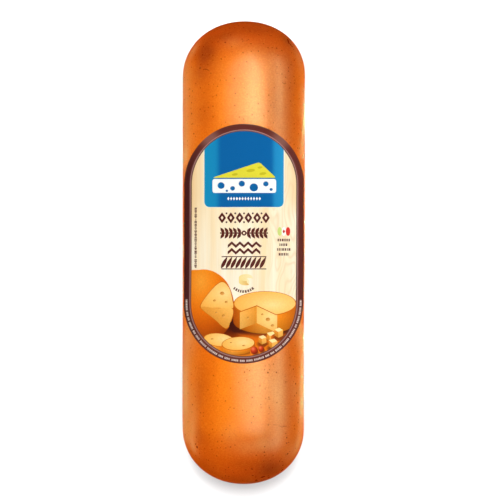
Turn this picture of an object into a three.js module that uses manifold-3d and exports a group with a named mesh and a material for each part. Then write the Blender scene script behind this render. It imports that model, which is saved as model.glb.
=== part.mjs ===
// A whole smoked provolone: one log of cheese with domed ends and a bare smoked rind, and the
// printed label stuck along its front. It lies on its side with the label up, on the narrow flat
// that its own weight has pressed into it.
//
// Millimetres. +Z is up, and +Y runs along the log towards the head, the end nearer the label.
// The origin is on the resting face, below the middle of the log.
import * as THREE from "three";
import { mergeVertices } from "three/addons/utils/BufferGeometryUtils.js";
import Module from "manifold-3d";

const wasm = await Module();
wasm.setup();

// The log
const logLength = 454.5; // tip to tip
const headRadius = 60.0; // the thicker half, towards +Y
const footRadius = 59.6; // the slimmer half, towards -Y
const headDome = 54.1; // how far each domed end reaches past the straight barrel
const footDome = 55.8;
const domeFullness = 2.07; // 2 is a plain ellipse, and more is fuller at the shoulder
const restingDepth = 0.6; // how deep the resting flat is pressed into the slimmer half

// The log isn't quite straight or quite even: it eases from one half to the other below its
// middle, and both tips lean a little towards +X.
const easeFrom = -76; // along Y
const easeTo = 12;
const halfShift = 0.6; // how far the thicker half is set over towards +X
const headLean = 0.9; // how far each tip leans past its own half
const footLean = 0.5;
const leanReach = 75; // the stretch at each end that leans

// The label: a stadium as it is seen from straight above, so it wraps far round both sides
const labelLength = 234.4;
const labelWidth = 116.6; // straight across, not round the curve
const labelCentre = 8.9; // along Y, past the middle of the log
const labelThickness = 0.3;
const labelGap = 0.3; // clear of the rind that it lies on

// How finely the curves are cut into flat faces
const facetsRound = 80;
const facetsPerDome = 13;
const facetsAlongBarrel = 12;
const labelColumns = 36;
const labelRows = 10;

const rind = new THREE.MeshStandardMaterial({ color: 0xe9822e, roughness: 0.42, metalness: 0 });
const print = new THREE.MeshStandardMaterial({ color: 0xfbe6bd, roughness: 0.35, metalness: 0 });

const headEnd = logLength / 2;
const footEnd = -logLength / 2;
const axisHeight = footRadius - restingDepth;

function barrelRadius(y) {
  return footRadius + (headRadius - footRadius) * THREE.MathUtils.smoothstep(y, easeFrom, easeTo);
}

// How far the middle of the log lies towards +X at one place along it.
function axisShift(y) {
  const half = halfShift * (THREE.MathUtils.smoothstep(y, easeFrom, easeTo) - 0.5);
  const head = headLean * THREE.MathUtils.smoothstep(y, headEnd - leanReach, headEnd);
  const foot = footLean * THREE.MathUtils.smoothstep(-y, -footEnd - leanReach, -footEnd);
  return half + head + foot;
}

// A point of the log's surface, lifted off it: angle is 0 on top and grows towards +X.
function onBarrel(angle, y, lift) {
  const radius = barrelRadius(y) + lift;
  return new THREE.Vector3(axisShift(y) + radius * Math.sin(angle), y, radius * Math.cos(angle));
}

// A quarter of the dome's outline, as [radius share, reach share] from the tip to the shoulder.
function domeSteps() {
  const steps = [];
  for (let i = 0; i < facetsPerDome; i++) {
    const turn = (i / facetsPerDome) * (Math.PI / 2);
    const out = Math.sin(turn) ** (2 / domeFullness);
    const along = Math.cos(turn) ** (2 / domeFullness);
    steps.push([out, along]);
  }
  return steps;
}

// The outline of half the log, from the foot's tip along the barrel to the head's tip.
function logProfile() {
  const foot = domeSteps().map(
    ([out, along]) => new THREE.Vector2(footRadius * out, footEnd + footDome * (1 - along)),
  );
  const barrel = [];
  for (let i = 0; i <= facetsAlongBarrel; i++) {
    const share = i / facetsAlongBarrel;
    const y = THREE.MathUtils.lerp(footEnd + footDome, headEnd - headDome, share);
    barrel.push(new THREE.Vector2(barrelRadius(y), y));
  }
  const head = domeSteps().map(
    ([out, along]) => new THREE.Vector2(headRadius * out, headEnd - headDome * (1 - along)),
  );
  return [...foot, ...barrel, ...head.reverse()];
}

// A closed geometry as a solid that can be cut.
function solid(geometry) {
  geometry.deleteAttribute("normal");
  geometry.deleteAttribute("uv");
  const merged = mergeVertices(geometry, 1e-4);
  return new wasm.Manifold(
    new wasm.Mesh({
      numProp: 3,
      vertProperties: merged.attributes.position.array,
      triVerts: new Uint32Array(merged.index.array),
    }),
  );
}

function geometryOf(manifold) {
  const mesh = manifold.getMesh();
  const geometry = new THREE.BufferGeometry();
  geometry.setAttribute("position", new THREE.BufferAttribute(mesh.vertProperties, 3));
  geometry.setIndex(new THREE.BufferAttribute(mesh.triVerts, 1));
  geometry.computeVertexNormals();
  return geometry;
}

// Everything below the resting face.
function groundBlock() {
  const deep = 2 * (headRadius - axisHeight);
  const block = new THREE.BoxGeometry(2 * headRadius, logLength, deep);
  return block.translate(0, 0, -axisHeight - deep / 2);
}

// The log, turned about its own axis, eased off straight, and cut flat where it rests.
function cheeseLog() {
  const turned = new THREE.LatheGeometry(logProfile(), facetsRound);
  const points = turned.attributes.position;
  for (let i = 0; i < points.count; i++) {
    points.setX(i, points.getX(i) + axisShift(points.getY(i)));
  }
  const mesh = new THREE.Mesh(geometryOf(solid(turned).subtract(solid(groundBlock()))), rind);
  mesh.name = "cheese_log";
  return mesh;
}

// The label: a flat grid squeezed to the stadium's outline, then bent round the barrel.
function label() {
  const sheet = new THREE.BoxGeometry(2, 2, labelThickness, labelColumns, labelRows, 1);
  const points = sheet.attributes.position;
  const endRadius = labelWidth / 2;
  const straightHalf = labelLength / 2 - endRadius;
  for (let i = 0; i < points.count; i++) {
    const turn = points.getX(i) * (Math.PI / 2);
    const halfLength = straightHalf + endRadius * Math.cos(turn);
    const angle = Math.asin((endRadius * Math.sin(turn)) / headRadius);
    const lift = labelGap + labelThickness / 2 + points.getZ(i);
    const place = onBarrel(angle, labelCentre + points.getY(i) * halfLength, lift);
    points.setXYZ(i, place.x, place.y, place.z);
  }
  sheet.computeVertexNormals();
  const mesh = new THREE.Mesh(sheet, print);
  mesh.name = "label";
  return mesh;
}

// Log and label together, moved so that the origin is under the middle of the log.
function provolone() {
  const log = cheeseLog();
  const group = new THREE.Group();
  group.add(log, label());
  log.geometry.computeBoundingBox();
  const middle = log.geometry.boundingBox.getCenter(new THREE.Vector3());
  group.position.set(-middle.x, 0, axisHeight);
  return group;
}

export default provolone();
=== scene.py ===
import math
import random

import bmesh
import bpy
from mathutils import Matrix, Vector, kdtree, noise
from mathutils.geometry import delaunay_2d_cdt


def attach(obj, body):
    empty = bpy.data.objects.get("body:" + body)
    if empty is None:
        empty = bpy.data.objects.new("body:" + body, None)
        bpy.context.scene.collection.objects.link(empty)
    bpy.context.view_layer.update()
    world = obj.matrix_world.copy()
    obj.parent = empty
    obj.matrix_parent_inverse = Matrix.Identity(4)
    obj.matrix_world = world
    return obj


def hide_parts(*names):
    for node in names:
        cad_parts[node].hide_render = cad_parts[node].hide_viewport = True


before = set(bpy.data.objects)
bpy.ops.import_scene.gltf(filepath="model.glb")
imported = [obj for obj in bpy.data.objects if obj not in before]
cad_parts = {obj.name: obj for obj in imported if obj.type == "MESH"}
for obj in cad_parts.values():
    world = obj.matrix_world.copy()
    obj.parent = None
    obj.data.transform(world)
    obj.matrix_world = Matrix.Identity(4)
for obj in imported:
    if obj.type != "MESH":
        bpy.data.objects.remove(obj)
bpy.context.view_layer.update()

# A whole smoked provolone lying on its side: the bare rind with its pits and creases, and the
# printed label on it. Shapes are worked out in millimetres and made in metres.
mm = 0.001

logForm = {
    "length": 454.9,
    "headRadius": 60.24,  # the thicker half, towards +Y
    "footRadius": 59.87,
    "aside": 0.1,  # along X
    "headDome": 54.1,  # how far each domed end reaches past the barrel
    "footDome": 55.8,
    "domeFullness": 2.07,
    "restingDepth": 0.82,
    "easeFrom": -76,  # where one half passes into the other, along Y
    "easeTo": 12,
    "halfShift": 0.6,
    "headLean": 0.9,
    "footLean": 0.5,
    "leanReach": 75,
}

headEnd = logForm["length"] / 2
footEnd = -headEnd
axisHeight = logForm["footRadius"] - logForm["restingDepth"]


def smooth(value, low, high):
    share = min(max((value - low) / (high - low), 0.0), 1.0)
    return share * share * (3 - 2 * share)


def barrelRadius(y):
    ease = smooth(y, logForm["easeFrom"], logForm["easeTo"])
    return logForm["footRadius"] + (logForm["headRadius"] - logForm["footRadius"]) * ease


def axisShift(y):
    reach = logForm["leanReach"]
    half = logForm["halfShift"] * (smooth(y, logForm["easeFrom"], logForm["easeTo"]) - 0.5)
    head = logForm["headLean"] * smooth(y, headEnd - reach, headEnd)
    foot = logForm["footLean"] * smooth(-y, headEnd - reach, headEnd)
    return half + head + foot


def radiusAt(y):
    fullness = logForm["domeFullness"]
    for sign, dome in ((1, logForm["headDome"]), (-1, logForm["footDome"])):
        along = (sign * y - (headEnd - dome)) / dome
        if along > 0:
            return barrelRadius(y) * max(1 - min(along, 1.0) ** fullness, 0.0) ** (1 / fullness)
    return barrelRadius(y)


# The log's outline from the foot's tip to the head's, as (travelled length, y, radius)
def outline():
    steps = 400
    places = []
    for sign, dome in ((-1, logForm["footDome"]), (1, logForm["headDome"])):
        half = []
        for i in range(steps):
            turn = i / steps * math.pi / 2
            share = math.cos(turn) ** (2 / logForm["domeFullness"])
            y = sign * (headEnd - dome * (1 - share))
            half.append((y, radiusAt(y)))
        places.append(half)
    barrel = []
    low = footEnd + logForm["footDome"]
    high = headEnd - logForm["headDome"]
    for i in range(steps + 1):
        y = low + (high - low) * i / steps
        barrel.append((y, barrelRadius(y)))
    line = []
    travelled = 0.0
    for y, radius in places[0] + barrel + places[1][::-1]:
        if line:
            travelled += math.hypot(y - line[-1][1], radius - line[-1][2])
        line.append((travelled, y, radius))
    return line


logLine = outline()
logTravel = logLine[-1][0]
sides = [(axisShift(y) + radius, axisShift(y) - radius) for _, y, radius in logLine]
middleX = (max(side[0] for side in sides) + min(side[1] for side in sides)) / 2 - logForm["aside"]


# A place on the outline at one travelled length: y, radius and the way out across and along.
def placeOn(travel):
    low, high = 0, len(logLine) - 1
    while high - low > 1:
        half = (low + high) // 2
        if logLine[half][0] <= travel:
            low = half
        else:
            high = half
    first, second = logLine[low], logLine[high]
    span = second[0] - first[0]
    share = (travel - first[0]) / span
    dy, dr = (second[1] - first[1]) / span, (second[2] - first[2]) / span
    y = first[1] + (second[1] - first[1]) * share
    radius = first[2] + (second[2] - first[2]) * share
    return y, max(radius, 0.0), dy, -dr


# The rind's relief: slow hollows and dents, with pits and creases pressed into them
relief = {
    "swell": 0.42,  # how deep the slow hollows go
    "swellSpan": 74,
    "dent": 0.11,
    "dentSpan": 17,
    "pitSootAndShade": 0.6,  # how dark a placed pit is, and what each millimetre of its radius adds
    "pitSootAndShadePerRadius": 0.6,
    "creaseStep": 0.45,  # a crease is a run of small pits
    "creaseWander": 0.15,
    "creaseRadii": (0.4, 0.65),
    "looseSpecks": 300,  # small pits strewn all over, besides the listed ones
    "looseRadii": (0.5, 0.6, 0.7, 0.8),
    "looseDepth": 0.5,  # as a share of the radius
    "looseSootAndShade": (0.35, 1.0),
    "looseAtEnds": 0.45,  # the share of them that gathers towards both ends
    "looseEndSpread": 26,
    "looseRound": 0.86,  # how far round they go, as a share of half a turn
    "seed": 23,
    "cell": 2.1,  # the plain mesh, which gets finer steps round each pit in three rounds
    "reaches": (2.5, 1.1, 0.35),
    "maxPitReach": 2.0,
}


# How far the surface lies inside the log's full form, without pits.
def hollowAt(place):
    slow = noise.noise(place / relief["swellSpan"] + Vector((3.1, 7.7, 1.9)))
    quick = noise.noise(place / relief["dentSpan"] + Vector((9.2, 0.4, 5.5)))
    share = min(max(0.5 + 0.5 * slow, 0), 1)
    return relief["swell"] * share + relief["dent"] * min(max(0.5 + 0.5 * quick, 0), 1)


def surfacePoint(angle, y, radius):
    across = axisShift(y) - middleX
    return Vector((across + radius * math.sin(angle), y, axisHeight + radius * math.cos(angle)))


# A place of the upper side, given as it is seen from straight above.
def onTop(x, y):
    outermost = 0.995  # as a share of the radius
    radius = radiusAt(y)
    share = (x - axisShift(y) + middleX) / max(radius, 1)
    return surfacePoint(math.asin(min(max(share, -outermost), outermost)), y, radius)


# Pits seen on the upper side, as (x, y, radius, depth)
placedPits = [
    (-17.9, 205.5, 0.9, 0.5), (-39.7, 201.7, 0.9, 0.5), (-40.4, 193.6, 1.0, 0.5),
    (-42.9, 180.5, 1.2, 0.6), (-32.2, 175.2, 0.8, 0.4), (-22.8, 168.4, 0.6, 0.3),
    (-53.0, 160.2, 0.9, 0.4), (-50.3, 158.2, 0.8, 0.4), (-53.2, 153.3, 0.9, 0.4),
    (-51.2, 146.7, 0.8, 0.4), (-51.2, 136.1, 1.1, 0.5), (14.6, 197.0, 0.8, 0.45),
    (32.4, 200.2, 0.8, 0.4), (3.3, 207.6, 0.6, 0.3), (5.2, 201.9, 0.5, 0.25),
    (44.2, 180.8, 0.8, 0.4), (44.0, 177.5, 0.8, 0.4), (41.4, 171.5, 0.7, 0.35),
    (30.1, 161.2, 0.6, 0.3), (0.6, 160.7, 0.6, 0.3), (-8.2, 155.3, 0.8, 0.35),
    (26.8, 144.0, 0.6, 0.3), (29.1, 126.8, 0.6, 0.3), (43.6, 208.8, 1.6, 0.5),
    (43.9, 207.2, 1.6, 0.6), (44.4, 205.6, 1.5, 0.5), (46.2, 203.8, 1.3, 0.4),
    (47.6, 202.2, 1.1, 0.4), (-50.0, 126.0, 0.8, 0.4), (-49.0, 116.4, 1.0, 0.45),
    (23.9, -117.0, 1.0, 0.5), (32.2, -117.0, 0.9, 0.45), (48.9, -114.0, 0.9, 0.4),
    (51.2, -128.3, 1.1, 0.5), (51.9, -137.4, 0.8, 0.4), (53.3, -147.0, 1.0, 0.5),
    (5.7, -115.1, 0.7, 0.35), (0.8, -116.5, 0.8, 0.35), (9.6, -159.8, 0.8, 0.35),
    (17.0, -148.2, 0.6, 0.3), (42.2, -180.8, 1.0, 0.45), (42.2, -186.3, 0.9, 0.4),
    (43.2, -197.0, 1.2, 0.6), (20.2, -195.0, 0.9, 0.45), (-12.9, -189.9, 0.8, 0.4),
    (-26.5, -198.7, 0.7, 0.35), (-45.8, -190.4, 1.6, 0.8), (-47.3, -187.4, 0.9, 0.4),
    (-50.3, -148.7, 0.9, 0.4), (-39.5, -159.8, 0.6, 0.3), (-17.9, -218.7, 0.9, 0.45),
    (18.2, -220.2, 1.9, 0.6), (19.8, -219.6, 1.6, 0.5), (24.9, -220.6, 1.7, 0.5),
    (37.9, -213.4, 1.8, 0.6), (12.4, -223.6, 1.8, 0.5), (8.8, -218.2, 1.1, 0.4),
    (-14.9, -210.0, 0.8, 0.4), (8.2, -211.8, 1.0, 0.5), (35.2, -204.1, 0.9, 0.45),
    (38.6, -208.4, 1.1, 0.55), (24.1, -218.9, 1.0, 0.5), (12.2, -222.6, 0.9, 0.45),
]

# Fine creases, each a run of (x, y) points with its depth and how dark it is painted: partly
# smoke, partly painted shade in the crease
placedCreases = [
    ([(-39.6, 178.9), (-38.0, 179.5), (-36.2, 179.0), (-34.4, 178.2), (-33.6, 177.2)], 0.45, 1.0),
    ([(23.4, -167.2), (25.8, -167.0)], 0.15, 0.25),
    ([(29.4, -168.0), (33.4, -168.3)], 0.18, 0.35),
    ([(34.6, -168.9), (37.1, -170.2), (40.2, -169.8), (42.4, -169.6)], 0.22, 0.45),
    ([(38.2, 166.2), (39.6, 164.9), (41.6, 165.2)], 0.25, 0.7),
    ([(-41.9, -163.4), (-39.9, -165.4), (-38.8, -168.8), (-36.6, -171.4)], 0.14, 0.22),
    ([(-16.4, -171.2), (-12.6, -173.0), (-9.1, -177.6), (-4.4, -180.3), (-0.9, -184.6)],
     0.1, 0.12),
    ([(18.0, 120.0), (24.6, 118.6), (31.0, 119.4)], 0.1, 0.15),
]

# Soft patches on the upper side, as (x, y, reach across, reach along, smoke and shade, bloom and
# sheen). The first is darker and redder: partly smoke, partly painted shade in the dark lanes
# beside the highlight, towards the tips and at the highlight's lower end. The second is paler:
# partly dry skin, partly a painted sheen along both edges and at the highlight's ends
placedPatches = [
    (-38, 197, 17, 17, 0.85, 0), (-33, 210, 12, 8, 0.35, 0), (-18, 211, 12, 7, 0.5, 0),
    (-31, 189, 14, 17, 0.3, 0), (-50, 198, 7, 13, 0, 0.65), (-50, -190, 7, 12, 0, 0.55),
    (53, -187, 6, 12, 0, 0.4), (19, -186, 10, 9, 0, 0.25), (-43, 178, 13, 20, 0.4, 0),
    (-38, 150, 14, 34, 0.18, 0), (18, 194, 18, 11, 0.22, 0), (-40, 133, 10, 12, 0.16, 0),
    (22, -206, 14, 9, 0.3, 0), (-38, -184, 12, 18, 0.25, 0), (26, 166, 8, 26, 0.18, 0),
    (-45, -176, 9, 16, 0.4, 0), (-45, -146, 9, 14, 0.2, 0), (22, -182, 14, 22, 0.22, 0),
    (0, -207, 16, 7, 0.25, 0), (-14, -178, 10, 12, 0, 0.2), (50, -138, 8, 24, 0, 0.25),
    (-12, 217, 28, 9, 0.38, 0), (16, 219, 22, 8, 0.25, 0), (45, 207, 12, 12, 0.6, 0),
    (46, 168, 12, 50, 0.3, 0), (31, 150, 12, 38, 0.34, 0), (54, 190, 8, 20, 0, 0.3),
    (-10, 206, 14, 10, 0, 0.2), (10, 196, 20, 12, 0, 0.15), (2, 140, 24, 24, 0, 0.12),
    (-57, 140, 7, 34, 0, 0.2), (-57, -136, 8, 54, 0, 0.4), (-50, -166, 9, 26, 0, 0.32),
    (-42, -128, 12, 22, 0.25, 0), (56, -168, 9, 60, 0, 0.5), (24, -128, 22, 28, 0, 0.3),
    (36, -146, 14, 30, 0, 0.25), (8, -190, 28, 10, 0, 0.2), (46, -196, 12, 14, 0, 0.35),
    (28, -213, 22, 11, 0.85, 0), (-38, -208, 16, 12, 0.45, 0), (-6, -222, 26, 7, 0.25, 0),
    (48, -204, 10, 8, 0.3, 0), (-54, -84, 16, 16, 0, 0.5), (55, -81, 13, 16, 0, 0.5),
    (-58, 94, 14, 15, 0, 0.42), (57, 98, 12, 18, 0, 0.4), (58, 134, 12, 20, 0, 0.22),
    (10, -171, 14, 8, 0.16, 0),
]


patchForm = {
    "fade": 1.6,  # how quickly a patch fades outwards
    "end": 1.6,  # beyond this many reaches it is left out
    "wander": 0.45,
    "wanderSpan": 19,
    "backCount": 26,  # patches strewn on the sides and the back
    "backTurn": (105, 180),  # degrees from the top, to either side
    "backAlong": 215,
    "backAcrossReach": (12, 30),
    "backAlongReach": (14, 46),
    "backStrength": (0.2, 0.5),
    "backSmoke": 0.5,  # the share that is smoke, and the rest is bloom
    "seed": 41,
}


def patchList():
    form = patchForm
    shuffle = random.Random(form["seed"])
    patches = [(onTop(x, y), *rest) for x, y, *rest in placedPatches]
    for _ in range(form["backCount"]):
        y = shuffle.uniform(-form["backAlong"], form["backAlong"])
        angle = math.radians(shuffle.choice((-1, 1)) * shuffle.uniform(*form["backTurn"]))
        smokeAndShade = shuffle.random() < form["backSmoke"]
        strength = shuffle.uniform(*form["backStrength"])
        across = shuffle.uniform(*form["backAcrossReach"])
        along = shuffle.uniform(*form["backAlongReach"])
        place = surfacePoint(angle, y, radiusAt(y))
        patches.append((place, across, along, strength * smokeAndShade, strength * (not smokeAndShade)))
    return patches


# How much smoke and painted shade, and how much bloom and painted sheen, lie at one place.
def patchesAt(place, patches):
    form = patchForm
    wander = noise.noise(place / form["wanderSpan"] + Vector((4.4, 1.3, 8.8)))
    smokeAndShade = bloomAndSheen = 0.0
    for centre, across, along, darker, paler in patches:
        away = place - centre
        if abs(away.y) > along * form["end"]:
            continue
        far = (away.x ** 2 + away.z ** 2) / across ** 2 + (away.y / along) ** 2
        share = math.exp(-form["fade"] * far) * (1 + form["wander"] * wander)
        smokeAndShade += darker * share
        bloomAndSheen += paler * share
    return min(smokeAndShade, 1.0), min(bloomAndSheen, 1.0)


# Every pit as its place, radius, depth and how dark it is painted: partly soot, partly painted
# shade in the hollow
def pitList():
    shuffle = random.Random(relief["seed"])
    wander = relief["creaseWander"]
    pits = []
    for x, y, radius, depth in placedPits:
        sootAndShade = relief["pitSootAndShade"] + relief["pitSootAndShadePerRadius"] * radius
        pits.append((onTop(x, y), radius, depth, sootAndShade))
    for run, depth, sootAndShade in placedCreases:
        for first, second in zip(run, run[1:]):
            steps = max(round(math.dist(first, second) / relief["creaseStep"]), 1)
            for i in range(steps):
                share = i / steps
                x = first[0] + (second[0] - first[0]) * share + shuffle.uniform(-wander, wander)
                y = first[1] + (second[1] - first[1]) * share + shuffle.uniform(-wander, wander)
                pits.append((onTop(x, y), shuffle.uniform(*relief["creaseRadii"]), depth, sootAndShade))
    turnMost = math.pi * relief["looseRound"]
    for _ in range(relief["looseSpecks"]):
        if shuffle.random() < relief["looseAtEnds"]:
            reach = headEnd - abs(shuffle.gauss(0, relief["looseEndSpread"]))
        else:
            reach = shuffle.uniform(0, headEnd)
        y = reach * shuffle.choice((-1, 1))
        angle = shuffle.uniform(-turnMost, turnMost)
        radius = shuffle.choice(relief["looseRadii"])
        place = surfacePoint(angle, y, radiusAt(y))
        sootAndShade = shuffle.uniform(*relief["looseSootAndShade"])
        pits.append((place, radius, radius * relief["looseDepth"], sootAndShade))
    return pits


# The unrolled rind, made of plain square cells.
def unrolledSheet(mesh, width):
    columns = round(width / relief["cell"])
    rows = round(logTravel / relief["cell"])
    grid = []
    for j in range(rows + 1):
        travel = logTravel * j / rows
        grid.append([mesh.verts.new((width * (i / columns - 0.5), travel, 0))
                     for i in range(columns + 1)])
    for j in range(rows):
        for i in range(columns):
            corners = (grid[j][i], grid[j][i + 1], grid[j + 1][i + 1], grid[j + 1][i])
            mesh.faces.new(corners)


# Splits the cells that lie near a pit, closer in with each round.
def refineAtPits(mesh, width, pits, tree):
    for reach in relief["reaches"]:
        edges = set()
        for face in mesh.faces:
            middle = face.calc_center_median()
            y, radius, _, _ = placeOn(min(max(middle.y, 0), logTravel))
            place = surfacePoint(middle.x / width * 2 * math.pi, y, radius)
            near = tree.find_range(place, reach + relief["maxPitReach"])
            if any(distance < pits[index][1] + reach for _, index, distance in near):
                edges.update(face.edges)
        bmesh.ops.subdivide_edges(mesh, edges=list(edges), cuts=1, use_grid_fill=True)


# How deep a place of the rind is pressed in, and how dark the pit at it is.
def pressedAt(place, pits, tree):
    hollow = hollowAt(place)
    depth = hollow
    sootAndShade = 0.0
    for _, index, distance in tree.find_range(place, relief["maxPitReach"]):
        _, pitRadius, pitDepth, pitSootAndShade = pits[index]
        share = 1 - (distance / pitRadius) ** 2
        if share > 0:
            sootAndShade = max(sootAndShade, share * pitSootAndShade)
            depth = max(depth, hollow + pitDepth * share * share)
    return depth, sootAndShade


def buildRind():
    pits = pitList()
    tree = kdtree.KDTree(len(pits))
    for i, (place, _, _, _) in enumerate(pits):
        tree.insert(place, i)
    tree.balance()
    patches = patchList()
    width = 2 * math.pi * logForm["headRadius"]
    mesh = bmesh.new()
    uvLayer = mesh.loops.layers.uv.new("OFBake")
    pitLayer = mesh.verts.layers.float.new("pit")
    smokeAndShadeLayer = mesh.verts.layers.float.new("smokeAndShade")
    bloomAndSheenLayer = mesh.verts.layers.float.new("bloomAndSheen")
    unrolledSheet(mesh, width)
    refineAtPits(mesh, width, pits, tree)

    for face in mesh.faces:
        face.smooth = True
        for loop in face.loops:
            loop[uvLayer].uv = (loop.vert.co.x / width + 0.5, loop.vert.co.y / logTravel)
    for vert in mesh.verts:
        angle = vert.co.x / width * 2 * math.pi
        y, radius, outAcross, outAlong = placeOn(vert.co.y)
        place = surfacePoint(angle, y, radius)
        depth, vert[pitLayer] = pressedAt(place, pits, tree)
        vert[smokeAndShadeLayer], vert[bloomAndSheenLayer] = patchesAt(place, patches)
        out = Vector((outAcross * math.sin(angle), outAlong, outAcross * math.cos(angle)))
        sunk = place - out * depth
        sunk.z = max(sunk.z, 0.0)
        vert.co = sunk * mm
    closeSeam = 0.02 * mm
    bmesh.ops.remove_doubles(mesh, verts=mesh.verts, dist=closeSeam)
    bmesh.ops.recalc_face_normals(mesh, faces=mesh.faces)
    data = bpy.data.meshes.new("rind")
    mesh.to_mesh(data)
    mesh.free()
    piece = bpy.data.objects.new("rind", data)
    bpy.context.scene.collection.objects.link(piece)
    return piece


# An sRGB hex code as the linear light that shaders take.
def linear(code):
    values = [int(code[i:i + 2], 16) / 255 for i in (1, 3, 5)]
    straight = [v / 12.92 if v <= 0.04045 else ((v + 0.055) / 1.055) ** 2.4 for v in values]
    return (*straight, 1.0)


# Adds a node; inputs are given by name or number, as a value or as the socket that feeds them.
def addNode(tree, kind, inputs=None, **options):
    node = tree.nodes.new("ShaderNode" + kind)
    for name, value in options.items():
        setattr(node, name, value)
    for name, value in (inputs or {}).items():
        if isinstance(value, bpy.types.NodeSocket):
            tree.links.new(value, node.inputs[name])
        else:
            node.inputs[name].default_value = value
    return node


def newMaterial(name):
    material = bpy.data.materials.new(name)
    material.use_nodes = True
    material.node_tree.nodes.clear()
    return material, material.node_tree


rindLook = {
    "orange": "#EA6904",
    "deep": "#DE5F03",
    # the tips and the patches are darker and redder partly from smoke and partly as painted shade,
    # and bloom is paler partly from dry skin and partly as a painted sheen
    "smokeAndShade": "#D84C02",
    "patch": "#A83803",
    "bloomAndSheen": "#F2A05A",
    "pale": "#F59A22",
    "fleck": "#B4520E",
    # pit colours the specks and, with soot, the pits, where the darkness is partly soot and partly
    # painted shade
    "pit": "#962500",
    "sootAndShade": "#6E1000",
    "gloss": "#FFEABF",
    "roughness": (0.35, 0.42),
    "ior": 1.47,  # near that of fat
    "cloud": 55,  # mm across one cloud of deeper orange
    "smokeReach": 62,  # mm that the darker smoke and painted shade reach in from each tip
    "smokeWander": 30,  # mm that its edge wanders, and over how long a stretch
    "smokeWanderSpan": 40,
    "grain": 1.6,  # mm; the real one is finer, and this is as coarse as it needs to show
    "paleGrain": 0.22,
    "fleckGrain": 0.32,
    "speckSpacing": 4.2,  # mm between the places where a small speck may lie
    "speckEdge": (0.24, 0.12),  # where one begins and is full, as shares of the spacing
    "speckChance": (0.7, 0.47),  # the draw that one has to pass, along the log and at its tips
    "speckStrength": 0.55,
    "pitStrength": 0.62,
    "sootAndShadeStrength": 0.9,
    "skin": 2.1,  # mm across one swelling of the skin, and how high it is
    "skinHeight": 0.09,
    "shine": (0.34, 0.66),
    "shineInPits": 0.05,  # the share of the shine that is left in them
}
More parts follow.
